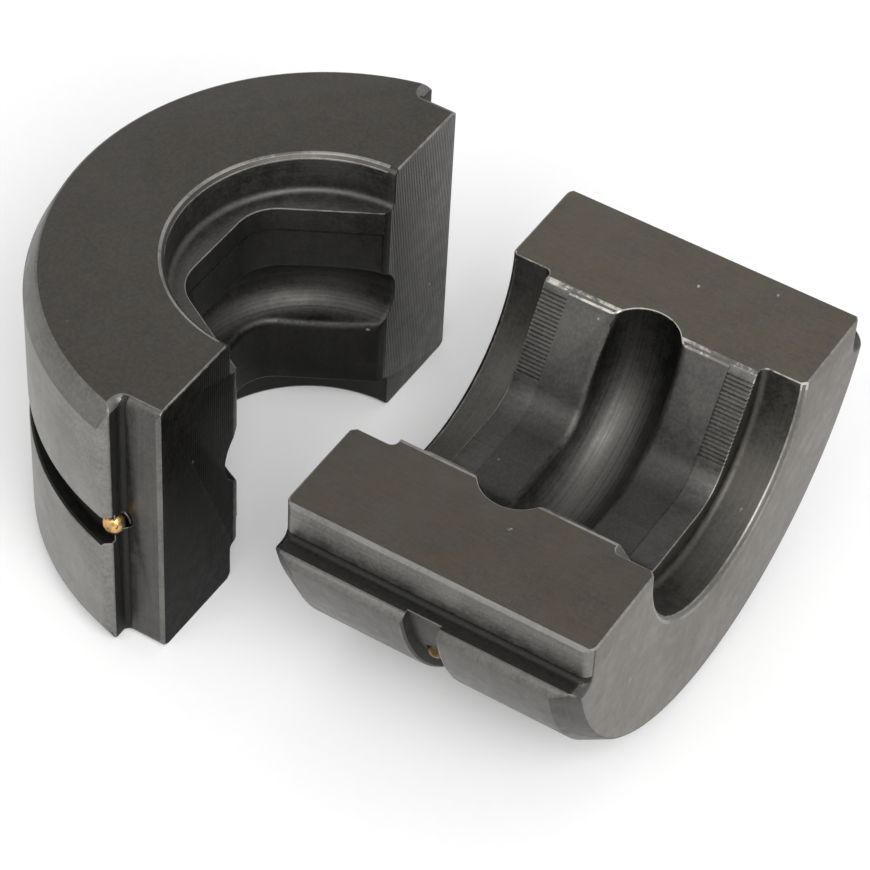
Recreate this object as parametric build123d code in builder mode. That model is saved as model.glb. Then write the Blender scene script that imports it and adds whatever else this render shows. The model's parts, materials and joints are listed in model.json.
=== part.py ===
"""A pair of loose hexagonal press dies for a hydraulic pipe crimping tool, each with a spring detent ball.

One die stands on an end face with its parting face to the front. The other lies on its back in front of
it, with its parting face up. Millimetres, +Z up, origin under the middle of the pair.
"""
import os
from math import cos, radians, sin, sqrt, tan

from build123d import *

# Pipe size and press profile
hexagon_flats = 24.4
hexagon_corner_radius = 5.0
counterbore_radius = 15.6
counterbore_depth = 5.0
counterbore_fillet = 0.8
mouth_bevel = 0.5
grip_strip_width = 3.1
grip_strip_relief = 0.15
bead_bottom_radius = 16.5
bead_arc_radius = 4.2
bead_lip_radius = 1.0
flare_depth = 0.3
serration_pitch = 0.47
serration_depth = 0.15
serration_count = 21
serration_end_gap = 1.3

# Die blank
die_length = 35.5
outer_radius = 32.0
outer_centre_rise = 2.1
end_bevel_inward = 1.4
end_bevel_along = 2.8
ledge_width = 3.1
side_height = 4.6
corner_bevel = 0.4
end_corner_radius = 1.2
ledge_fillet = 0.6
shoulder_bevel = 0.9

# Retaining groove round the outside
groove_width = 3.8
groove_depth = 1.4
groove_lip_bevel = 0.3

# Detent ball, its seat and its spring
ball_radius = 1.2
ball_clearance = 0.1
ball_seat_gap = 0.06
lip_depth = 0.4
lip_overhang = 0.15
ball_hole_depth = 6.5
spring_wire_radius = 0.18
spring_coil_radius = 1.0
spring_turns = 4
spring_clearance = 0.06

# What differs between the two dies: how far their lands open at the parting face, and the ball's place
standing_opening_half_width = 14.9
standing_ball_angle = -14.0
lying_opening_half_width = 14.5
lying_ball_angle = 208.0

# How the loose dies lie
dies_apart = 13.8
dies_sidestep = 1.7

# Sizes that follow from those above
overshoot = 1.0
mid_length = die_length / 2
die_depth = outer_radius - outer_centre_rise
groove_floor_radius = outer_radius - groove_depth
pair_depth = die_depth + dies_apart + die_length
standing_parting_y = pair_depth / 2 - die_depth
lying_far_end_y = standing_parting_y - dies_apart
shoulder_x = sqrt(outer_radius**2 - (side_height + outer_centre_rise) ** 2)
side_half_width = shoulder_x - ledge_width
outer_axis = Axis((0, outer_centre_rise, 0), (0, 0, 1))
flare_foot = hexagon_flats / 2 / cos(radians(30)) - flare_depth * tan(radians(30))
grip_flat = hexagon_flats / 2 + grip_strip_relief
grip_strip_starts = (counterbore_depth, die_length - counterbore_depth - grip_strip_width)

# Where the two dies stand and lie: x across the legs, y out of the parting face, z along the bore
standing_seat = Plane(
    origin=(-dies_sidestep / 2, standing_parting_y, 0), x_dir=(-1, 0, 0), z_dir=(0, 0, 1)
)
lying_seat = Plane(
    origin=(dies_sidestep / 2, lying_far_end_y, die_depth), x_dir=(1, 0, 0), z_dir=(0, -1, 0)
)

# The ball sinks until it touches the cone of the staked lip, less its seat gap
ball_hole_radius = ball_radius + ball_clearance
lip_radius = ball_hole_radius - lip_overhang
lip_slant = sqrt(lip_overhang**2 + lip_depth**2)
ball_sink = (
    (ball_radius + ball_seat_gap) * lip_slant - ball_hole_radius * lip_depth
) / lip_overhang + lip_depth
ball_travel = ball_radius - ball_sink


def ball_plane(angle):
    """Plane on the groove floor at an angle round the outer centre, with its z axis pointing outwards."""
    outwards = Vector(cos(radians(angle)), sin(radians(angle)), 0)
    centre = Vector(0, outer_centre_rise, mid_length)
    return Plane(origin=centre + outwards * groove_floor_radius, x_dir=(0, 0, 1), z_dir=outwards)


def half_hexagon(apothem):
    """Three flats of the pipe's hexagon, with the outer two carried on above the parting face."""
    half_flat = apothem * tan(radians(30))
    open_half_width = 2 * half_flat + overshoot * tan(radians(30))
    with BuildSketch() as outline:
        with BuildLine():
            Polyline(
                (-open_half_width, overshoot),
                (-half_flat, -apothem),
                (half_flat, -apothem),
                (open_half_width, overshoot),
                close=True,
            )
        make_face()
        fillet(outline.vertices().group_by(Axis.Y)[0], hexagon_corner_radius)
    return outline.sketch


def bore_core():
    """What the lands and the bead groove take out of a blank, with a rounded lip between them."""
    bead_centre_radius = bead_bottom_radius - bead_arc_radius
    with BuildPart() as core:
        with BuildSketch():
            add(half_hexagon(hexagon_flats / 2))
        extrude(amount=die_length)
        with BuildSketch(Plane.XZ):
            with BuildLine():
                ThreePointArc(
                    (bead_centre_radius, mid_length - bead_arc_radius),
                    (bead_bottom_radius, mid_length),
                    (bead_centre_radius, mid_length + bead_arc_radius),
                )
                Polyline(
                    (bead_centre_radius, mid_length + bead_arc_radius),
                    (0, mid_length + bead_arc_radius),
                    (0, mid_length - bead_arc_radius),
                    (bead_centre_radius, mid_length - bead_arc_radius),
                )
            make_face()
        revolve(axis=Axis.Z)
        with BuildSketch(Plane.XZ.offset(-overshoot)):
            Rectangle(4 * bead_bottom_radius, 2 * bead_bottom_radius + 2 * die_length)
        extrude(amount=-2 * bead_bottom_radius, mode=Mode.SUBTRACT)
        bead = core.faces().filter_by(GeomType.TORUS)
        lips = [e for face in bead for e in face.edges() if e.center().Y < overshoot - bead_lip_radius / 2]
        fillet(lips, bead_lip_radius)
    return core


def press_die(opening_half_width, ball_angle):
    """One die in its own axes, with its parting face on the XZ plane and its body on the -Y side."""
    with BuildPart() as die:
        # Blank: half round back, and flat sides that step in beside the parting face
        with BuildSketch():
            with BuildLine():
                Polyline(
                    (-shoulder_x, -side_height),
                    (-side_half_width, -side_height),
                    (-side_half_width, 0),
                    (side_half_width, 0),
                    (side_half_width, -side_height),
                    (shoulder_x, -side_height),
                )
                ThreePointArc(
                    (shoulder_x, -side_height), (0, -die_depth), (-shoulder_x, -side_height)
                )
            make_face()
        extrude(amount=die_length)
        upright = die.edges().filter_by(Axis.Z)
        ledge_corners = [e for e in upright if abs(abs(e.center().X) - side_half_width) < ball_clearance]
        fillet([e for e in ledge_corners if e.center().Y < -side_height / 2], ledge_fillet)
        chamfer([e for e in ledge_corners if e.center().Y > -side_height / 2], corner_bevel)
        shoulders = [
            e for e in die.edges().filter_by(Axis.Z)
            if abs(e.center().X) > (side_half_width + shoulder_x) / 2
        ]
        chamfer(shoulders, shoulder_bevel)
        end_corners = [
            e for e in die.edges().filter_by(Axis.Y)
            if abs(e.center().X) > side_half_width - corner_bevel / 2
        ]
        fillet(end_corners, end_corner_radius)

        # Long bevels at both ends, turned about the centre of the round back
        with BuildSketch(Plane.XZ.offset(-outer_centre_rise)):
            with BuildLine():
                Polyline(
                    (0, 0),
                    (outer_radius - end_bevel_inward, 0),
                    (outer_radius, end_bevel_along),
                    (outer_radius, die_length - end_bevel_along),
                    (outer_radius - end_bevel_inward, die_length),
                    (0, die_length),
                    close=True,
                )
            make_face()
        revolve(axis=outer_axis, mode=Mode.INTERSECT)

        # Press profile: lands and bead groove, with the grip strips a little wider than the lands
        add(bore_core(), mode=Mode.SUBTRACT)
        with BuildSketch(*[Plane.XY.offset(start) for start in grip_strip_starts]):
            add(half_hexagon(grip_flat))
        extrude(amount=grip_strip_width, mode=Mode.SUBTRACT)

        # The lands flare out just below the parting face
        with BuildSketch():
            with BuildLine():
                Polyline(
                    (-opening_half_width, 0),
                    (opening_half_width, 0),
                    (flare_foot, -flare_depth),
                    (-flare_foot, -flare_depth),
                    close=True,
                )
            make_face()
        extrude(amount=die_length, mode=Mode.SUBTRACT)

        # Counterbores with bevelled mouths and rounded bottoms
        with BuildSketch(Plane.XZ) as counterbore:
            with BuildLine():
                Polyline(
                    (0, 0),
                    (counterbore_radius + mouth_bevel, 0),
                    (counterbore_radius, mouth_bevel),
                    (counterbore_radius, counterbore_depth),
                    (0, counterbore_depth),
                    close=True,
                )
            make_face()
            fillet(counterbore.vertices().group_by(Axis.Y)[-1].sort_by(Axis.X)[-1], counterbore_fillet)
            mirror(about=Plane.XZ.offset(-mid_length))
        revolve(axis=Axis.Z, mode=Mode.SUBTRACT)

        # Retaining groove with bevelled lips
        groove_low = mid_length - groove_width / 2
        groove_high = mid_length + groove_width / 2
        lip_start = outer_radius - groove_lip_bevel
        with BuildSketch(Plane.XZ.offset(-outer_centre_rise)):
            with BuildLine():
                Polyline(
                    (groove_floor_radius, groove_low),
                    (lip_start, groove_low),
                    (outer_radius + overshoot, groove_low - groove_lip_bevel - overshoot),
                    (outer_radius + overshoot, groove_high + groove_lip_bevel + overshoot),
                    (lip_start, groove_high),
                    (groove_floor_radius, groove_high),
                    close=True,
                )
            make_face()
        revolve(axis=outer_axis, mode=Mode.SUBTRACT)

        # Blind hole for the detent ball and its spring, with a staked lip at the groove floor
        seat = ball_plane(ball_angle)
        with BuildSketch(Plane(origin=seat.origin, x_dir=seat.x_dir, z_dir=-seat.y_dir)):
            with BuildLine():
                Polyline(
                    (0, overshoot),
                    (lip_radius, overshoot),
                    (lip_radius, 0),
                    (ball_hole_radius, -lip_depth),
                    (ball_hole_radius, -ball_hole_depth),
                    (0, -ball_hole_depth),
                    close=True,
                )
            make_face()
        revolve(axis=Axis(seat.origin, seat.z_dir), mode=Mode.SUBTRACT)
    return die


def serrated(die):
    """A die with fine grooves along the bore in both grip strips of its first flat."""
    first_serration = grip_flat * tan(radians(30)) - serration_end_gap
    middle = first_serration - (serration_count - 1) * serration_pitch / 2
    with BuildPart() as grooved:
        add(die)
        with BuildSketch(*[Plane.XY.offset(start) for start in grip_strip_starts]):
            with PolarLocations(grip_flat, 1, start_angle=-30):
                with Locations((0, middle)):
                    with GridLocations(serration_pitch, serration_pitch, 1, serration_count):
                        Rectangle(serration_depth * sqrt(2), serration_depth * sqrt(2), rotation=45)
        extrude(amount=grip_strip_width, mode=Mode.SUBTRACT)
    return grooved


def detent_ball(ball_angle):
    """The ball in a die's own axes, just under the lip of its hole."""
    with BuildPart(ball_plane(ball_angle).offset(-ball_sink)) as ball:
        Sphere(ball_radius)
    return ball


def detent_spring(ball_angle):
    """The coil spring behind the ball, from the bottom of the hole up to the ball."""
    reach = ball_radius + spring_wire_radius + spring_clearance
    top = ball_sink + sqrt(reach**2 - spring_coil_radius**2)
    bottom = ball_hole_depth - spring_wire_radius - spring_clearance
    height = bottom - top
    with BuildPart() as spring:
        with BuildLine():
            Helix(pitch=height / spring_turns, height=height, radius=spring_coil_radius)
        with BuildSketch(Plane.XZ):
            with Locations((spring_coil_radius, 0)):
                Circle(spring_wire_radius)
        sweep(is_frenet=True)
    with BuildPart(ball_plane(ball_angle).offset(-bottom)) as seated:
        add(spring)
    return seated


def placed(seat, piece, node):
    """Set a piece down on its die's seat, and write it out."""
    with BuildPart(seat) as part:
        add(piece)
    part.part.label = node
    export_step(part.part, f"parts/{node}.step")
    return part


os.makedirs("parts", exist_ok=True)

standing_die = placed(
    standing_seat, press_die(standing_opening_half_width, standing_ball_angle), "standing_die"
)
standing_detent_ball = placed(
    standing_seat, detent_ball(standing_ball_angle), "standing_detent_ball"
)
standing_detent_spring = placed(
    standing_seat, detent_spring(standing_ball_angle), "standing_detent_spring"
)
lying_die = placed(
    lying_seat, serrated(press_die(lying_opening_half_width, lying_ball_angle)), "lying_die"
)
lying_detent_ball = placed(lying_seat, detent_ball(lying_ball_angle), "lying_detent_ball")
lying_detent_spring = placed(
    lying_seat, detent_spring(lying_ball_angle), "lying_detent_spring"
)

print("ball sink and travel", round(ball_sink, 3), round(ball_travel, 3))
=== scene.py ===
"""Finishes, stage and camera for a pair of loose hexagonal press dies for pipe fittings.

Metres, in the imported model's own frame. Each die is a merged copy of its solid with broken edges
and a finish for every kind of machined face. Faces are told apart in the die's own axes: x across
the legs, y out of the parting face and z along the bore from the far end.
"""
import json
from math import hypot, radians

import bmesh
import bpy
from bpy.props import FloatProperty, FloatVectorProperty, PointerProperty
from mathutils import Matrix, Vector


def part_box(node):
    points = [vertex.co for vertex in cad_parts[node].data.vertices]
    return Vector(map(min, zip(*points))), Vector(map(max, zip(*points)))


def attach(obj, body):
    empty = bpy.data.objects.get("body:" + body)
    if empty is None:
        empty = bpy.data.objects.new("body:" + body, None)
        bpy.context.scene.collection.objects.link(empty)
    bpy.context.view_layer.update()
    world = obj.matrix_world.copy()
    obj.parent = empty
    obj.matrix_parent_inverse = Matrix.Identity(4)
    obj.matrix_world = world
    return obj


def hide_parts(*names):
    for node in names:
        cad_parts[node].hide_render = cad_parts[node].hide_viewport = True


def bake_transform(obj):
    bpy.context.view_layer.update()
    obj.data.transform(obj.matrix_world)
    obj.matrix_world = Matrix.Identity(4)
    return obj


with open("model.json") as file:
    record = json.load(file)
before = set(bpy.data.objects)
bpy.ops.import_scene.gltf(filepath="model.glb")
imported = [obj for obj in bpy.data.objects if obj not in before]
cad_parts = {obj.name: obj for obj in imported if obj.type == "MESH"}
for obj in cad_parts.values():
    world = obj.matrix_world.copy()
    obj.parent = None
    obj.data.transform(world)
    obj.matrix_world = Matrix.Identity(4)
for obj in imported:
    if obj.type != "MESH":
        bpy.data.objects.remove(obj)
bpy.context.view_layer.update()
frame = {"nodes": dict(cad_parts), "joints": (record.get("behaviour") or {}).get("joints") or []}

bl_info = {
    "name": "Press die finishes",
    "version": (1, 0, 0),
    "blender": (4, 5, 0),
    "location": "3D View > Sidebar > Press dies",
    "description": "Dresses a pair of hexagonal press dies in blackened steel and sets their stage",
    "category": "Object",
}

# Sizes of the dies that tell one machined face from another
bead_arc_radius = 0.0042
bead_bottom_radius = 0.0165
bore_reach = 0.0175
counterbore_bevel = 0.0005
counterbore_depth = 0.005
corner_bevel = 0.0004
end_bevel_along = 0.0028
end_bevel_inward = 0.0014
flare_depth = 0.0003
grip_strip_width = 0.0031
groove_half_width = 0.0019
groove_lip_bevel = 0.0003
ledge_fillet = 0.0006
ledge_height = 0.0046
outer_centre_rise = 0.0021
outer_radius = 0.032
shoulder_depth = 0.0064
shoulder_reach = 0.0298
side_reach = 0.0275
tolerance = 0.00006

# Parts of a face's normal along an axis: the face lies across the axis, nearly so, or slopes
across_axis = 0.97
nearly_across = 0.9
mostly_across = 0.8
sloping = 0.3

# Broken edges: shares of the full width, the turn from which the mouth's edges are broken, the
# finishes that have narrower edges and the pairs of finishes that have none between them
bore_edge_share = 0.55
flare_edge_angle = radians(12)
flare_edge_share = 0.8
narrow_edged = {"counterbore", "grip_strip", "land", "bead", "groove"}
unbroken = ({"grip_strip"}, {"groove"}, {"grip_strip", "land"}, {"counterbore", "flare"})

# Mesh clean-up and smoothing
weld_distance = 0.000001
flat_angle = radians(0.4)
die_smooth_angle = radians(32)
spring_smooth_angle = radians(50)

# Sizes of the patterns, in features per metre
brown_scale = 420.0
cloud_scale = 170.0
dull_scale = 900.0
grain_scale = 2600.0
mottle_scale = 620.0
nick_scale = 560.0
paper_scale = 900.0
rib_scale = 900.0
rust_edge_scale = 1500.0
rust_scale = 240.0
scuff_scale = 1400.0
speckle_scale = 2400.0

# Machining lines: how the die's own axes are scaled into each pattern
along_bore = (2600.0, 2600.0, 60.0)
along_land = (700.0, 700.0, 60.0)
dressed = (1500.0, 1500.0, 1500.0)
ground = (2400.0, 2400.0, 300.0)
in_groove = (16.0, 16.0, 3000.0)
round_back = (16.0, 16.0, 2600.0)
round_bead = {"standing": (3000.0, 0.0, 3000.0), "lying": (3400.0, 0.0, 3400.0)}
round_bore = (3600.0, 0.0, 3600.0)

# Where along the bore, and how deep in it, a face's tone changes: the ribs fade out, and painted
# shade darkens the die's foot and the bottom of its bore, or the top of the bead
rib_fade = (0.002, 0.011)
foot_shade_fade = (0.0, 0.026)
deep_shade_fade = (-0.015, -0.004)

# The part of each pattern's values that shows, from none to all
cloud_span = (0.34, 0.68)
mottle_span = (0.38, 0.66)
line_span = (0.3, 0.7)
grain_span = (0.40, 0.62)
spot_span = (0.20, 0.34)

# Shares of a pattern's cells that hold a spot at all, and a full one, for nicks or rust of 1
nick_share = (0.05, 0.03)
rust_share = (0.09, 0.07)

# How deep the finest relief is
oxide_relief = 0.00006
edge_relief = 0.00005
ball_relief = 0.0001
wire_relief = 0.00003

# Stage
camera_right = (0.5299, -0.8471, 0.0408)
camera_up = (0.5949, 0.4056, 0.6939)
camera_back = (-0.6044, -0.3435, 0.7189)
camera_sensor = 36.0
camera_near = 0.01
lamp_aim = (0, 0, 0.02)
main_lamp_place = (-0.6, -0.75, 1.0)
main_lamp_width = 0.8
left_lamp_place = (-1.0, 0.15, 1.0)
left_lamp_width = 0.7
left_lamp_share = 0.2

black = (0.0, 0.0, 0.0, 1.0)
white = (1.0, 1.0, 1.0, 1.0)
brown_tint = (1.06, 0.87, 0.67)
ball_speckle = (0.10, 0.055, 0.02)
# The lying die's ball is darkened all over, a painted shade for its place in the groove's shadow
ball_groove_shade = {"standing": 0.0, "lying": 0.75}
# The strip step's tone on each die, set for how its small face is lit, a painted light and shade
strip_step_light = {"standing": 0.8, "lying": 1.8}

standing_axes = Matrix(((-1, 0, 0), (0, -1, 0), (0, 0, 1)))
lying_axes = Matrix(((1, 0, 0), (0, 0, 1), (0, -1, 0)))

finish_names = (
    "back", "end_bevel", "side_face", "corner", "ledge", "parting_front", "parting_rear",
    "end_face", "groove", "counterbore", "counterbore_mouth", "grip_strip", "land", "flare",
    "bead", "worn_edge", "bright_edge", "strip_step",
)


class DieLooks(bpy.types.PropertyGroup):
    """Sizes and colours of the dies, their balls and their springs."""

    edge_width: FloatProperty(
        name="Broken edge", description="Width of the worn bevel along sharp edges",
        default=0.0002, min=0.00002, max=0.0004, precision=5, subtype="DISTANCE", unit="LENGTH",
    )
    edge_angle: FloatProperty(
        name="Edge angle", description="Edges sharper than this are broken",
        default=radians(30), subtype="ANGLE", unit="ROTATION",
    )
    oxide: FloatVectorProperty(
        name="Black oxide", description="Colour of the blackened steel",
        default=(0.069, 0.068, 0.065), size=3, min=0, max=1, subtype="COLOR",
    )
    rubbed: FloatVectorProperty(
        name="Rubbed oxide", description="Colour where handling has thinned the oxide",
        default=(0.118, 0.115, 0.108), size=3, min=0, max=1, subtype="COLOR",
    )
    bare_steel: FloatVectorProperty(
        name="Bare steel", description="Colour of nicks and rubbed edges",
        default=(0.52, 0.50, 0.46), size=3, min=0, max=1, subtype="COLOR",
    )
    rust: FloatVectorProperty(
        name="Rust", description="Colour of the small rust spots",
        default=(0.16, 0.08, 0.038), size=3, min=0, max=1, subtype="COLOR",
    )
    brass: FloatVectorProperty(
        name="Ball", description="Colour of the detent balls",
        default=(0.66, 0.42, 0.17), size=3, min=0, max=1, subtype="COLOR",
    )
    spring_steel: FloatVectorProperty(
        name="Spring steel", description="Colour of the springs behind the balls",
        default=(0.075, 0.072, 0.068), size=3, min=0, max=1, subtype="COLOR",
    )


class StageLooks(bpy.types.PropertyGroup):
    """The floor, the light and the camera."""

    floor_colour: FloatVectorProperty(
        name="Floor", description="Colour of the floor",
        default=(0.88, 0.88, 0.88), size=3, min=0, max=1, subtype="COLOR",
    )
    floor_glow: FloatProperty(
        name="Floor glow", description="How much whiter the floor shows than it is lit",
        default=0.13, min=0, max=1,
    )
    floor_width: FloatProperty(
        name="Floor width", description="Width of the square floor",
        default=6.0, min=1.0, subtype="DISTANCE", unit="LENGTH",
    )
    sky_strength: FloatProperty(
        name="Sky", description="Strength of the even light from all round",
        default=0.60, min=0, max=2,
    )
    lamp_power: FloatProperty(
        name="Main lamp", description="Power of the large soft lamp",
        default=12.5, min=0, subtype="POWER", unit="POWER",
    )
    camera_place: FloatVectorProperty(
        name="Camera", description="Where the camera stands",
        default=(-0.2306, -0.1364, 0.2910), size=3, subtype="TRANSLATION", unit="LENGTH",
    )
    camera_lens: FloatProperty(
        name="Focal length", description="Focal length on a 36 mm sensor",
        default=148.61, min=20, subtype="DISTANCE_CAMERA", unit="CAMERA",
    )


# Node materials


class Shader:
    """The nodes of one material, or of the world, while they are put together."""

    def __init__(self, owner):
        self.owner = owner
        self.owner.use_nodes = True
        self.tree = self.owner.node_tree
        self.tree.nodes.clear()

    def node(self, kind, settings=None, **inputs):
        """Add a node, set its options and then its sockets, by value or by link."""
        made = self.tree.nodes.new(kind)
        for option, value in (settings or {}).items():
            setattr(made, option, value)
        for label, value in inputs.items():
            self.feed(made.inputs[label.replace("_", " ")], value)
        return made

    def feed(self, socket, value):
        """Set a socket to a constant or link it to another node's output."""
        if isinstance(value, bpy.types.NodeSocket):
            self.tree.links.new(value, socket)
        else:
            socket.default_value = value

    def maths(self, operation, first, second, clamp=False):
        """A Math node."""
        made = self.node("ShaderNodeMath", {"operation": operation, "use_clamp": clamp})
        self.feed(made.inputs[0], first)
        self.feed(made.inputs[1], second)
        return made.outputs[0]

    def plus(self, first, second, clamp=False):
        """Two values added."""
        return self.maths("ADD", first, second, clamp)

    def times(self, first, second):
        """Two values multiplied."""
        return self.maths("MULTIPLY", first, second)

    def spread(self, value, low, high, to_low=0.0, to_high=1.0):
        """A Map Range node, smooth and clamped."""
        made = self.node(
            "ShaderNodeMapRange", {"interpolation_type": "SMOOTHSTEP"}, Value=value, From_Min=low,
            From_Max=high, To_Min=to_low, To_Max=to_high,
        )
        return made.outputs["Result"]

    def mix(self, share, first, second):
        """A colour mix."""
        made = self.node("ShaderNodeMix", {"data_type": "RGBA"})
        self.feed(made.inputs["Factor"], share)
        self.feed(made.inputs[6], first)
        self.feed(made.inputs[7], second)
        return made.outputs[2]

    def noise(self, vector, scale, detail, roughness):
        """A noise texture's value."""
        made = self.node(
            "ShaderNodeTexNoise", Vector=vector, Scale=scale, Detail=detail, Roughness=roughness
        )
        return made.outputs["Fac"]

    def spots(self, vector, scale, channel, ragged, chance, amount, strength):
        """Spots with ragged edges in a few of a pattern's cells, picked by one random channel."""
        cells = self.node("ShaderNodeTexVoronoi", Vector=vector, Scale=scale, Randomness=1.0)
        numbers = self.node("ShaderNodeSeparateColor", Color=cells.outputs["Color"])
        near = self.plus(cells.outputs["Distance"], ragged)
        none, full = (1.0 - part * amount for part in chance)
        chosen = self.spread(numbers.outputs[channel], none, full)
        return self.times(self.spread(near, *spot_span, strength, 0.0), chosen)

    def stretch(self, vector, scale):
        """A Mapping node that stretches a pattern."""
        return self.node("ShaderNodeMapping", Vector=vector, Scale=scale).outputs["Vector"]

    def object_place(self):
        """Object coordinates."""
        return self.node("ShaderNodeTexCoord").outputs["Object"]

    def seen(self):
        """1 for rays from the camera and for rays mirrored or let through by a surface."""
        ray = self.node("ShaderNodeLightPath").outputs
        mirrored = self.maths("MAXIMUM", ray["Is Camera Ray"], ray["Is Glossy Ray"])
        return self.maths("MAXIMUM", mirrored, ray["Is Transmission Ray"])

    def end(self, surface, kind="ShaderNodeOutputMaterial"):
        """End in an output node."""
        out = self.node(kind)
        self.tree.links.new(surface.outputs[0], out.inputs["Surface"])
        return self.owner

    def metal(self, colour, gloss, relief, bump, depth, mirror=white):
        """End in bare or blackened metal, bumped by relief."""
        bumped = self.node("ShaderNodeBump", Strength=bump, Distance=depth, Height=relief)
        return self.end(self.node(
            "ShaderNodeBsdfPrincipled", Base_Color=colour, Metallic=1.0, Roughness=gloss,
            Normal=bumped.outputs["Normal"], Specular_Tint=mirror,
        ))


def new_material(name):
    """An empty node material."""
    return Shader(bpy.data.materials.new(name))


def opaque(colour):
    """An RGBA socket's value from a property's three numbers."""
    return (*colour, 1.0)


def shade(colour, amount):
    """A colour made lighter or darker by a factor."""
    return tuple(channel * amount for channel in colour)


def blackened(
    name, looks, lines, line_share=0.5, light=1.0, rubbed=0.4, roughness=(0.36, 0.55), nicks=0.5,
    rust=0.3, bump=0.3, turned=False, warm=0.0, ribs=0.0, foot=1.0, deep=1.0, grazing=1.0,
):
    """Blackened steel with machining lines, thin places in the oxide, nicks and rust.

    lines scales the die's own axes into the lines' pattern. turned reads the distance from the
    bore's axis in place of x. ribs adds even tool marks across the face. light scales the tone, set
    partly for the finish and partly for how the face is lit, a painted light and shade. foot and
    deep
    are painted shade: foot darkens the tone towards the die's far end, where the standing die
    stands on the floor, and deep darkens it towards the bottom of the bore, or above 1 darkens the
    top of the face instead, leaving a painted highlight at its bottom. grazing is how much the face
    mirrors at a low angle.
    """
    made = new_material(name)
    place = made.node("ShaderNodeAttribute", {"attribute_name": "die_place"}).outputs["Vector"]
    spot = made.object_place()
    split = made.node("ShaderNodeSeparateXYZ", Vector=place)
    across, deepwards, lengthwards = (split.outputs[axis] for axis in "XYZ")
    if turned:
        flat = made.node("ShaderNodeCombineXYZ", X=across, Y=deepwards)
        radius = made.node("ShaderNodeVectorMath", {"operation": "LENGTH"})
        made.feed(radius.inputs[0], flat.outputs[0])
        place = made.node(
            "ShaderNodeCombineXYZ", X=radius.outputs["Value"], Y=deepwards, Z=lengthwards
        ).outputs[0]
    machining = made.noise(made.stretch(place, lines), 1.0, detail=2.5, roughness=0.6)
    clouds = made.noise(spot, cloud_scale, detail=5.0, roughness=0.62)
    mottle = made.noise(spot, mottle_scale, detail=3.0, roughness=0.6)
    grain = made.noise(spot, grain_scale, detail=3.0, roughness=0.65)

    # Thin places in the oxide, and the relief under them
    share = made.times(made.spread(clouds, *cloud_span), rubbed)
    share = made.plus(share, made.times(made.spread(mottle, *mottle_span), rubbed * 0.5))
    share = made.plus(share, made.times(made.spread(machining, *line_span), line_share))
    share = made.plus(share, made.times(made.spread(grain, *grain_span), 0.4), clamp=True)
    relief = made.plus(made.times(machining, line_share + 0.2), made.times(grain, 0.4))
    if ribs:
        wave = made.node(
            "ShaderNodeTexWave", {"wave_profile": "SIN", "bands_direction": "X"}, Vector=place,
            Scale=rib_scale, Distortion=0.9, Detail=2.0, Detail_Scale=0.4,
        ).outputs["Fac"]
        reach = made.spread(lengthwards, *rib_fade, 0.25, 1.0)
        wave = made.times(wave, made.times(reach, ribs))
        share = made.plus(share, wave, clamp=True)
        relief = made.plus(relief, made.times(wave, 2.0))
    # light scales the face's tone, set partly for its finish and partly for how the face is lit:
    # painted light and shade
    pale = shade(looks.rubbed, light)
    colour = made.mix(share, opaque(shade(looks.oxide, light)), opaque(pale))

    # Brown film, and painted shade at the die's foot and down its bore, or a painted highlight at
    # the bead's bottom
    if warm:
        film = made.noise(spot, brown_scale, detail=6.0, roughness=0.75)
        browned = made.spread(film, 0.30, 0.70, 0.35 * warm, 0.85 * warm)
        brown = tuple(channel * tint for channel, tint in zip(pale, brown_tint))
        colour = made.mix(browned, colour, opaque(brown))
    if foot != 1.0:
        colour = made.mix(made.spread(lengthwards, *foot_shade_fade, foot, 1.0), black, colour)
    if deep != 1.0:
        low, high = min(deep, 1.0), min(1.0, 1.0 / deep)
        colour = made.mix(made.spread(deepwards, *deep_shade_fade, low, high), black, colour)

    # Nicks down to the steel, and rust
    if nicks:
        spots = made.spots(spot, nick_scale, "Red", made.times(grain, 0.4), nick_share, nicks, 0.7)
        colour = made.mix(spots, colour, opaque(looks.bare_steel))
    if rust:
        ragged = made.times(made.noise(spot, rust_edge_scale, detail=3.0, roughness=0.7), 0.3)
        spots = made.spots(spot, rust_scale, "Green", ragged, rust_share, rust, 0.5)
        colour = made.mix(spots, colour, opaque(looks.rust))
    sheen = made.plus(made.times(mottle, 0.6), made.times(grain, 0.4))
    gloss = made.spread(sheen, 0.35, 0.65, *roughness)
    return made.metal(colour, gloss, relief, bump, oxide_relief, (grazing, grazing, grazing, 1.0))


def worn_edge(name, looks, bright):
    """Edges where handling has thinned the oxide to a pale line, with bare spots in it; the pale
    line is partly wear and partly a painted highlight for the light a rounded edge catches.

    bright is how much of the edge is bare.
    """
    made = new_material(name)
    spot = made.object_place()
    long_wear = made.noise(spot, cloud_scale, detail=2.0, roughness=0.5)
    short_wear = made.noise(spot, scuff_scale, detail=3.0, roughness=0.65)
    wear = made.plus(made.times(long_wear, 0.6), made.times(short_wear, 0.4))
    dull, pale = opaque(shade(looks.rubbed, 1.2)), opaque(shade(looks.rubbed, 2.4))
    thinned = made.mix(made.spread(wear, 0.35, 0.6), dull, pale)
    bare = made.spread(wear, 0.72 - 0.3 * bright, 0.84 - 0.3 * bright, 0.0, 0.5 + 0.5 * bright)
    colour = made.mix(bare, thinned, opaque(looks.bare_steel))
    gloss = made.spread(short_wear, 0.3, 0.7, 0.32, 0.55)
    return made.metal(colour, gloss, short_wear, 0.4, edge_relief)


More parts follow.
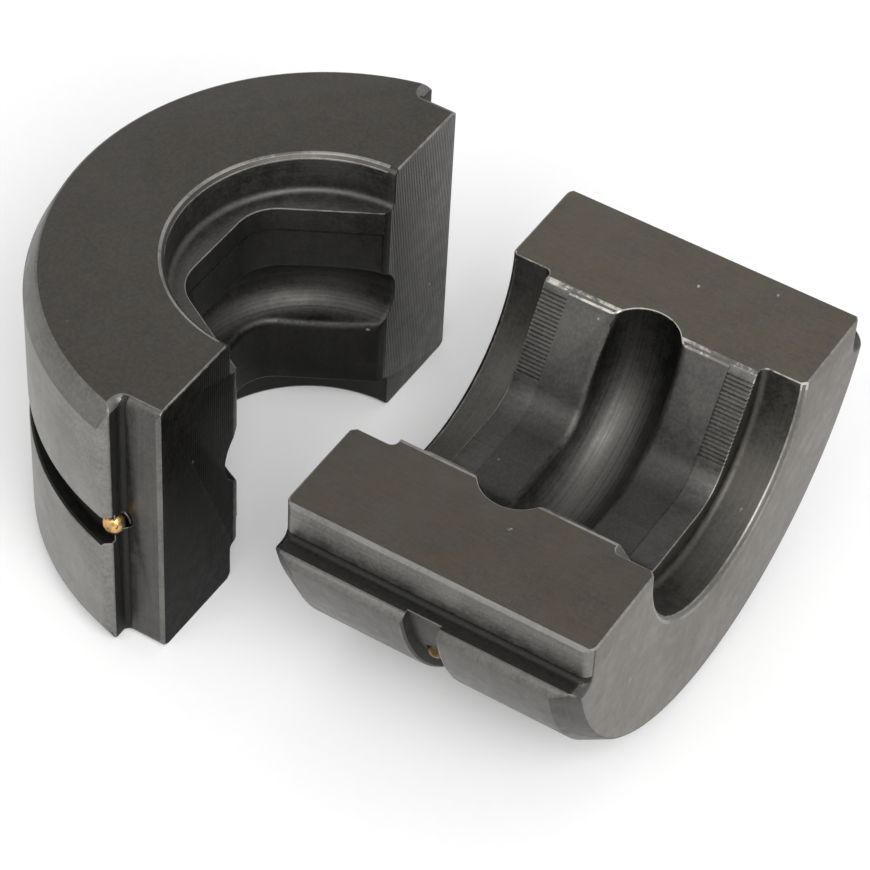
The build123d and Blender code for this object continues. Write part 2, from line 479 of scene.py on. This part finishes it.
def standing_finishes(steel):
    """The standing die's finishes, each face toned for how it is lit, a painted light and shade,
    and darker towards its foot and down its bore, a painted shade.
    """
    return {
        # The back is toned light for the light it faces, a painted light
        "back": steel(
            "back_turned", round_back, line_share=0.15, light=2.4, rubbed=0.35,
            roughness=(0.40, 0.56), nicks=0.5, rust=0.3, bump=0.12,
        ),
        "end_bevel": steel(
            "bevel_turned", round_back, line_share=0.15, light=1.6, rubbed=0.35,
            roughness=(0.40, 0.56), nicks=0.5, rust=0.3, bump=0.12,
        ),
        "side_face": steel(
            "side_milled", along_bore, line_share=0.35, light=1.0, rubbed=0.3,
            roughness=(0.36, 0.5), nicks=0.6, rust=0.3, bump=0.25,
        ),
        # The groove is toned dark, a painted shade between its walls
        "groove": steel(
            "groove_turned", in_groove, line_share=0.3, light=0.2, rubbed=0.2,
            roughness=(0.5, 0.65), nicks=0.0, rust=0.3, bump=0.2,
        ),
        "flare": steel(
            "flare_dressed", dressed, line_share=0.3, light=0.5, rubbed=0.3,
            roughness=(0.4, 0.55), nicks=0.5, rust=0.2, bump=0.2, foot=0.5,
        ),
        # The parting face beside the lying die is toned dark and mirrors less at a low angle, a
        # painted shade for the lying die's shadow; its rust is the die's own
        "parting_front": steel(
            "parting_dark", along_bore, line_share=0.25, light=0.38, rubbed=0.3,
            roughness=(0.38, 0.5), nicks=0.5, rust=1.6, bump=0.3, ribs=0.4, foot=0.6,
            grazing=0.6,
        ),
        "parting_rear": steel(
            "parting_ribbed", along_bore, line_share=0.3, light=0.95, rubbed=0.3,
            roughness=(0.34, 0.5), nicks=0.4, rust=0.2, bump=0.5, ribs=0.75, foot=0.55,
        ),
        "end_face": steel(
            "end_faced", dressed, line_share=0.12, light=0.72, rubbed=0.15, roughness=(0.36, 0.5),
            nicks=0.4, rust=0.3, bump=0.1, warm=0.35,
        ),
        "counterbore": steel(
            "counterbore_turned", round_bore, line_share=0.4, light=0.8, rubbed=0.3,
            roughness=(0.4, 0.55), nicks=0.3, rust=0.6, bump=0.3, turned=True, foot=0.35,
        ),
        "counterbore_mouth": steel(
            "mouth_turned", round_bore, line_share=0.5, light=0.62, rubbed=0.5,
            roughness=(0.36, 0.5), nicks=0.9, rust=0.9, bump=0.3, turned=True, warm=0.5,
            foot=0.5,
        ),
        "grip_strip": steel(
            "grip_strip_milled", along_land, line_share=0.25, light=0.46, rubbed=0.3,
            roughness=(0.4, 0.55), nicks=0.5, rust=0.2, bump=0.2, foot=0.4, grazing=0.85,
        ),
        "land": steel(
            "land_milled", along_land, line_share=0.25, light=0.46, rubbed=0.3,
            roughness=(0.4, 0.55), nicks=0.6, rust=0.2, bump=0.2, foot=0.4, grazing=0.85,
        ),
        "bead": steel(
            "bead_turned", round_bead["standing"], line_share=0.8, light=0.5, rubbed=0.2,
            roughness=(0.38, 0.52), nicks=0.3, rust=0.2, bump=0.5, turned=True,
        ),
    }


def lying_finishes(steel):
    """The lying die's finishes: browned, worn at its mouth, and each face toned for how it is lit,
    a painted light and shade, with the bore's flats darker and its bead lighter towards the bottom
    of the bore.
    """
    return {
        "back": steel(
            "back_turned", round_back, line_share=0.2, light=1.45, rubbed=0.3,
            roughness=(0.40, 0.56), nicks=0.5, rust=0.3, bump=0.12,
        ),
        "end_bevel": steel(
            "bevel_turned", round_back, line_share=0.2, light=0.88, rubbed=0.3,
            roughness=(0.40, 0.56), nicks=0.5, rust=0.3, bump=0.12,
        ),
        # The side face is toned light for the light it faces, a painted light
        "side_face": steel(
            "side_milled", along_bore, line_share=0.35, light=1.9, rubbed=0.3,
            roughness=(0.36, 0.5), nicks=0.6, rust=0.3, bump=0.25,
        ),
        "groove": steel(
            "groove_turned", in_groove, line_share=0.3, light=0.9, rubbed=0.2,
            roughness=(0.5, 0.65), nicks=0.0, rust=0.3, bump=0.2,
        ),
        "flare": steel(
            "flare_dressed", dressed, line_share=0.4, light=1.15, rubbed=0.9,
            roughness=(0.32, 0.46), nicks=0.9, rust=0.4, bump=0.3, warm=0.6,
        ),
        "parting_front": steel(
            "parting_ground", ground, line_share=0.3, light=0.94, rubbed=0.35,
            roughness=(0.36, 0.54), nicks=0.6, rust=0.4, bump=0.25, warm=0.8,
        ),
        "parting_rear": steel(
            "parting_ground_near", ground, line_share=0.3, light=0.77, rubbed=0.35,
            roughness=(0.36, 0.54), nicks=0.6, rust=0.6, bump=0.25, warm=0.8,
        ),
        # The end faces are toned light for the light they face, a painted light
        "end_face": steel(
            "end_faced", dressed, line_share=0.2, light=1.7, rubbed=0.35, roughness=(0.38, 0.54),
            nicks=0.6, rust=0.4, bump=0.15, warm=0.4,
        ),
        "counterbore": steel(
            "counterbore_turned", round_bore, line_share=0.35, light=0.72, rubbed=0.4,
            roughness=(0.4, 0.55), nicks=0.3, rust=1.0, bump=0.3, turned=True, warm=0.25,
        ),
        "counterbore_mouth": steel(
            "mouth_turned", round_bore, line_share=0.5, light=1.3, rubbed=0.7,
            roughness=(0.34, 0.5), nicks=0.9, rust=0.3, bump=0.3, turned=True, warm=0.3,
        ),
        # deep paints the bore's flats darker towards the bottom of the bore, a painted shade, and
        # the bead lighter there, a painted highlight
        "grip_strip": steel(
            "grip_strip_cut", along_bore, line_share=0.3, light=1.45, rubbed=0.4,
            roughness=(0.35, 0.5), nicks=0.4, rust=0.2, bump=0.3, deep=0.4,
        ),
        "land": steel(
            "land_milled", along_land, line_share=0.25, light=1.1, rubbed=0.35,
            roughness=(0.4, 0.52), nicks=1.0, rust=0.5, bump=0.25, deep=0.45,
        ),
        "bead": steel(
            "bead_turned", round_bead["lying"], line_share=0.9, light=0.85, rubbed=0.2,
            roughness=(0.42, 0.55), nicks=0.2, rust=0.2, bump=0.5, turned=True, deep=2.2,
        ),
    }


def die_finishes(side, looks):
    """One material for each kind of machined face of a die, by finish name."""
    def steel(name, lines, **options):
        """Blackened steel of this die's own."""
        return blackened(f"{side}_{name}", looks, lines, **options)

    own = {"standing": standing_finishes, "lying": lying_finishes}[side](steel)
    return own | {
        # The corner bevel is pale, partly wear and partly a painted highlight along the edge
        "corner": steel(
            "corner_dressed", along_bore, line_share=0.4, light=1.6, rubbed=0.6,
            roughness=(0.34, 0.5), nicks=0.9, rust=0.2, bump=0.3,
        ),
        # The ledge is toned dark, a painted shade in the valley below the side face
        "ledge": steel(
            "ledge_milled", along_bore, line_share=0.2, light=0.38, rubbed=0.2,
            roughness=(0.5, 0.65), nicks=0.2, rust=0.2, bump=0.2,
        ),
        "strip_step": steel(
            "strip_step", along_bore, line_share=0.2, light=strip_step_light[side], rubbed=0.3
        ),
        "worn_edge": worn_edge(f"{side}_worn_edge", looks, bright=0.3),
        "bright_edge": worn_edge(f"{side}_bright_edge", looks, bright=1.0),
    }


def ball_finish(side, looks, groove_shade):
    """Brass coloured ball with dulled and speckled places. The last argument darkens it all over, a
    painted shade for a ball that sits in shadow down its groove.
    """
    made = new_material(side + "_ball_brass")
    spot = made.object_place()
    speckle = made.noise(spot, speckle_scale, detail=3.0, roughness=0.6)
    cloud = made.noise(spot, dull_scale, detail=2.0, roughness=0.5)
    shaded_brass = shade(looks.brass, 1.0 - groove_shade)
    colour = made.mix(made.spread(cloud, 0.42, 0.6), opaque(shaded_brass), opaque(shade(shaded_brass, 0.5)))
    colour = made.mix(made.spread(speckle, 0.56, 0.68), colour, opaque(ball_speckle))
    gloss = made.spread(speckle, 0.3, 0.7, 0.26, 0.5)
    return made.metal(colour, gloss, speckle, 0.5, ball_relief)


def spring_finish(looks):
    """Drawn spring wire, a little oily."""
    made = new_material("spring_drawn")
    speckle = made.noise(made.object_place(), grain_scale, detail=3.0, roughness=0.6)
    dark = opaque(shade(looks.spring_steel, 0.5))
    colour = made.mix(made.spread(speckle, 0.4, 0.7), opaque(looks.spring_steel), dark)
    gloss = made.spread(speckle, 0.3, 0.7, 0.25, 0.45)
    return made.metal(colour, gloss, speckle, 0.2, wire_relief)


# Pieces


def only(chosen):
    """Select one object and nothing else."""
    bpy.ops.object.select_all(action="DESELECT")
    chosen.select_set(True)
    bpy.context.view_layer.objects.active = chosen


def merged_copy(node, name):
    """A copy of a solid with its loose triangles joined and its flat faces made whole."""
    source = frame["nodes"][node]
    copy = source.copy()
    copy.data = source.data.copy()
    copy.name = copy.data.name = name
    for key in list(copy.keys()):
        del copy[key]
    bpy.context.scene.collection.objects.link(copy)
    copy.parent = None
    copy.matrix_world = Matrix.Identity(4)
    only(copy)
    bpy.ops.object.mode_set(mode="EDIT")
    bpy.ops.mesh.select_all(action="SELECT")
    bpy.ops.mesh.remove_doubles(threshold=weld_distance)
    bpy.ops.mesh.customdata_custom_splitnormals_clear()
    bpy.ops.mesh.dissolve_limited(angle_limit=flat_angle)
    bpy.ops.object.mode_set(mode="OBJECT")
    return copy


def finish_of(place, normal, length):
    """Which machined face a face is part of, by its place and normal in the die's own axes."""
    from_end = min(place.z, length - place.z)
    from_middle = abs(place.z - length / 2)
    from_bore = hypot(place.x, place.y)
    from_outer = hypot(place.x, place.y - outer_centre_rise)
    if normal.y > across_axis and place.y > -tolerance:
        return "parting_front" if place.x > 0 else "parting_rear"
    if abs(normal.z) > across_axis and from_end < tolerance:
        return "end_face"
    if from_bore < bore_reach:
        from_bead = hypot(from_bore - bead_bottom_radius + bead_arc_radius, from_middle)
        strip_end = counterbore_depth + grip_strip_width
        if from_end < counterbore_bevel and sloping < abs(normal.z) < nearly_across:
            return "counterbore_mouth"
        if from_end < counterbore_depth + tolerance:
            return "counterbore"
        if abs(from_bead - bead_arc_radius) < 2 * tolerance:
            return "bead"
        if normal.y > mostly_across and place.y > -flare_depth - tolerance:
            return "flare"
        if abs(normal.z) > nearly_across and abs(from_end - strip_end) < tolerance:
            return "strip_step"
        return "grip_strip" if from_end < strip_end + tolerance else "land"
    if place.y > -ledge_height - tolerance and abs(place.x) > side_reach:
        if place.y > -corner_bevel - tolerance and normal.y > sloping:
            return "corner"
        return "side_face" if place.y > ledge_fillet - ledge_height else "ledge"
    if from_middle < groove_half_width + groove_lip_bevel and from_outer < outer_radius - tolerance:
        return "groove"
    return "end_bevel" if from_end < end_bevel_along and abs(normal.z) > sloping else "back"


def worn_finish(place, side, length):
    """Which finish a broken edge has, by its place in the die's own axes."""
    from_end = min(place.z, length - place.z)
    from_outer = hypot(place.x, place.y - outer_centre_rise)
    if hypot(place.x, place.y) < bore_reach and place.y > -2 * flare_depth:
        if side == "standing":
            return "flare"
        return "bright_edge" if place.x > 0 else "worn_edge"
    if from_end < corner_bevel and from_outer > outer_radius - end_bevel_inward - corner_bevel:
        return "end_bevel"
    if abs(place.x) > shoulder_reach and place.y > -shoulder_depth:
        return "back"
    return "worn_edge"


def edge_weight(turn, pair, looks):
    """How wide an edge is broken, from none at 0 to the full width at 1."""
    narrow = pair & narrow_edged
    if pair in unbroken or "corner" in pair or "strip_step" in pair:
        return 0.0
    if turn < (flare_edge_angle if "flare" in pair and len(pair) > 1 else looks.edge_angle):
        return 0.0
    if "flare" in pair and narrow:
        return flare_edge_share
    return bore_edge_share if narrow else 1.0


def break_edges(die, looks):
    """Weight the outward edges for a small bevel, and bevel them."""
    mesh = die.data
    only(die)
    for face in mesh.polygons:
        kind = finish_names[face.material_index]
        face.select = len(face.vertices) > 4 and kind in ("counterbore", "back", "flare")
    bpy.ops.object.mode_set(mode="EDIT")
    bpy.ops.mesh.quads_convert_to_tris(quad_method="BEAUTY", ngon_method="BEAUTY")
    bpy.ops.object.mode_set(mode="OBJECT")
    weights = mesh.attributes.new("bevel_weight_edge", "FLOAT", "EDGE")
    shape = bmesh.new()
    shape.from_mesh(mesh)
    for edge in shape.edges:
        if len(edge.link_faces) == 2:
            pair = {finish_names[face.material_index] for face in edge.link_faces}
            turn = edge.calc_face_angle_signed(0.0)
            weights.data[edge.index].value = edge_weight(turn, pair, looks)
    shape.free()
    edges = die.modifiers.new("broken_edges", "BEVEL")
    edges.width = looks.edge_width
    edges.segments = 2
    edges.limit_method = "WEIGHT"
    edges.use_clamp_overlap = False
    edges.miter_outer = "MITER_ARC"
    edges.material = finish_names.index("worn_edge")
    bpy.ops.object.modifier_apply(modifier="broken_edges")


def assign(die, kinds):
    """Give each face the material slot of its finish."""
    for slot, name in enumerate(finish_names):
        if name not in kinds:
            continue
        bpy.ops.object.mode_set(mode="EDIT")
        bpy.ops.mesh.select_all(action="DESELECT")
        bpy.ops.object.mode_set(mode="OBJECT")
        for face, kind in zip(die.data.polygons, kinds):
            face.select = kind == name
        bpy.ops.object.mode_set(mode="EDIT")
        die.active_material_index = slot
        bpy.ops.object.material_slot_assign()
        bpy.ops.object.mode_set(mode="OBJECT")


def dress_die(side, axes, origin, looks):
    """Replace a die's solid by a copy with broken edges and a finish on every face."""
    node = side + "_die"
    low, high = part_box(node)
    length = abs((axes @ (high - low)).z)
    die = merged_copy(node, node + "_dressed")
    die.data.materials.clear()
    materials = die_finishes(side, looks)
    for name in finish_names:
        die.data.materials.append(materials[name])
    kinds = [
        finish_of(axes @ (face.center - origin), axes @ face.normal, length)
        for face in die.data.polygons
    ]
    assign(die, kinds)
    break_edges(die, looks)
    for face in die.data.polygons:
        if finish_names[face.material_index] == "worn_edge":
            kind = worn_finish(axes @ (face.center - origin), side, length)
            face.material_index = finish_names.index(kind)
    bpy.ops.object.shade_smooth_by_angle(angle=die_smooth_angle)
    places = die.data.attributes.new("die_place", "FLOAT_VECTOR", "POINT")
    for point, spot in zip(die.data.vertices, places.data):
        spot.vector = axes @ (point.co - origin)
    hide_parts(node)
    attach(die, node)


class PRESSDIE_OT_dies(bpy.types.Operator):
    """Dress both press dies in blackened steel"""

    bl_idname = "press_die.dies"
    bl_label = "Press dies"

    def execute(self, context):
        looks = context.scene.die_looks
        low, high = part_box("standing_die")
        foot = Vector(((low.x + high.x) / 2, low.y, low.z))
        dress_die("standing", standing_axes, foot, looks)
        low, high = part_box("lying_die")
        far_end = Vector(((low.x + high.x) / 2, high.y, high.z))
        dress_die("lying", lying_axes, far_end, looks)
        return {"FINISHED"}


class PRESSDIE_OT_balls(bpy.types.Operator):
    """Dress the two detent balls in dulled brass, the lying die's darkened by painted shade"""

    bl_idname = "press_die.balls"
    bl_label = "Detent balls"

    def execute(self, context):
        for side, groove_shade in ball_groove_shade.items():
            material = ball_finish(side, context.scene.die_looks, groove_shade)
            ball = merged_copy(side + "_detent_ball", side + "_ball_polished")
            ball.data.materials.clear()
            ball.data.materials.append(material)
            bpy.ops.object.shade_smooth()
            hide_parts(side + "_detent_ball")
            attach(ball, side + "_ball")
        return {"FINISHED"}


def spring_ends(spring, side):
    """The points on a spring's axis at the bottom of its hole and at the ball."""
    press = next(joint for joint in frame["joints"] if joint["name"] == side + "_ball_press")
    into_hole = Vector(press["axis"]).normalized()
    depths = [point.co.dot(into_hole) for point in spring.data.vertices]
    low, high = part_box(side + "_detent_spring")
    middle = (low + high) / 2
    on_axis = middle - into_hole * middle.dot(into_hole)
    return on_axis + into_hole * max(depths), on_axis + into_hole * min(depths)


class PRESSDIE_OT_springs(bpy.types.Operator):
    """Smooth the two springs behind the balls"""

    bl_idname = "press_die.springs"
    bl_label = "Detent springs"

    def execute(self, context):
        material = spring_finish(context.scene.die_looks)
        for side in ("standing", "lying"):
            spring = merged_copy(side + "_detent_spring", side + "_spring_drawn")
            spring.data.materials.clear()
            spring.data.materials.append(material)
            bpy.ops.object.shade_smooth_by_angle(angle=spring_smooth_angle)
            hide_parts(side + "_detent_spring")
            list(spring_ends(spring, side))
            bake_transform(spring)
        return {"FINISHED"}


# Stage


def floor_finish(looks):
    """Pale paper that reads as white where nothing shades it."""
    made = new_material("floor_paper")
    grain = made.noise(made.object_place(), paper_scale, detail=2.0, roughness=0.5)
    plain, pale = opaque(looks.floor_colour), opaque(shade(looks.floor_colour, 1.02))
    colour = made.mix(made.spread(grain, 0.3, 0.7), plain, pale)
    paper = made.node("ShaderNodeBsdfDiffuse", Color=colour)
    strength = made.times(made.seen(), looks.floor_glow)
    glow = made.node("ShaderNodeEmission", Color=white, Strength=strength)
    both = made.node("ShaderNodeAddShader")
    made.tree.links.new(paper.outputs[0], both.inputs[0])
    made.tree.links.new(glow.outputs[0], both.inputs[1])
    return made.end(both)


def white_sky(looks):
    """Even light all round, which shows as white."""
    bpy.context.scene.world = bpy.data.worlds.new("white_sky")
    made = Shader(bpy.context.scene.world)
    level = made.node(
        "ShaderNodeMapRange", Value=made.seen(), To_Min=looks.sky_strength, To_Max=1.0
    )
    sky = made.node("ShaderNodeBackground", Color=white, Strength=level.outputs["Result"])
    made.end(sky, "ShaderNodeOutputWorld")


def soft_lamp(name, place, width, power):
    """A square area lamp that points at the dies."""
    bpy.ops.object.select_all(action="DESELECT")
    turn = (Vector(lamp_aim) - Vector(place)).to_track_quat("-Z", "Y").to_euler()
    bpy.ops.object.light_add(type="AREA", location=place, rotation=turn)
    lamp = bpy.context.active_object
    lamp.name = name
    lamp.data.shape = "SQUARE"
    lamp.data.size = width
    lamp.data.energy = power


class PRESSDIE_OT_stage(bpy.types.Operator):
    """Set the floor, the soft light and the camera at the photograph's angle"""

    bl_idname = "press_die.stage"
    bl_label = "Stage"

    def execute(self, context):
        looks = context.scene.stage_looks
        bpy.ops.object.select_all(action="DESELECT")
        bpy.ops.mesh.primitive_plane_add(size=looks.floor_width, location=(0, 0, 0))
        floor = context.active_object
        floor.name = "floor"
        floor.data.materials.append(floor_finish(looks))
        white_sky(looks)
        soft_lamp("main_lamp", main_lamp_place, main_lamp_width, looks.lamp_power)
        left_power = looks.lamp_power * left_lamp_share
        soft_lamp("left_lamp", left_lamp_place, left_lamp_width, left_power)
        turn = Matrix((camera_right, camera_up, camera_back)).transposed()
        bpy.ops.object.camera_add(location=looks.camera_place, rotation=turn.to_euler())
        camera = context.active_object
        camera.name = "camera"
        camera.data.lens = looks.camera_lens
        camera.data.sensor_width = camera_sensor
        camera.data.clip_start = camera_near
        context.scene.camera = camera
        context.scene.view_settings.view_transform = "Standard"
        return {"FINISHED"}


class PRESSDIE_PT_panel(bpy.types.Panel):
    """Lists the steps that dress the dies"""

    bl_idname = "PRESSDIE_PT_panel"
    bl_label = "Press dies"
    bl_space_type = "VIEW_3D"
    bl_region_type = "UI"
    bl_category = "Press dies"

    def draw(self, context):
        for looks in (context.scene.die_looks, context.scene.stage_looks):
            box = self.layout.box()
            for name in looks.__annotations__:
                box.prop(looks, name)
        for step in steps:
            self.layout.operator(step.bl_idname)


steps = (PRESSDIE_OT_dies, PRESSDIE_OT_balls, PRESSDIE_OT_springs, PRESSDIE_OT_stage)
classes = (DieLooks, StageLooks, *steps, PRESSDIE_PT_panel)


def register():
    """Make the classes and the settings known to Blender."""
    for entry in classes:
        bpy.utils.register_class(entry)
    bpy.types.Scene.die_looks = PointerProperty(type=DieLooks)
    bpy.types.Scene.stage_looks = PointerProperty(type=StageLooks)


def unregister():
    """Take the classes and the settings out again."""
    del bpy.types.Scene.stage_looks
    del bpy.types.Scene.die_looks
    for entry in reversed(classes):
        bpy.utils.unregister_class(entry)


def main():
    """Run every step."""
    register()
    bpy.ops.press_die.dies()
    bpy.ops.press_die.balls()
    bpy.ops.press_die.springs()
    bpy.ops.press_die.stage()


if __name__ == "__main__":
    main()
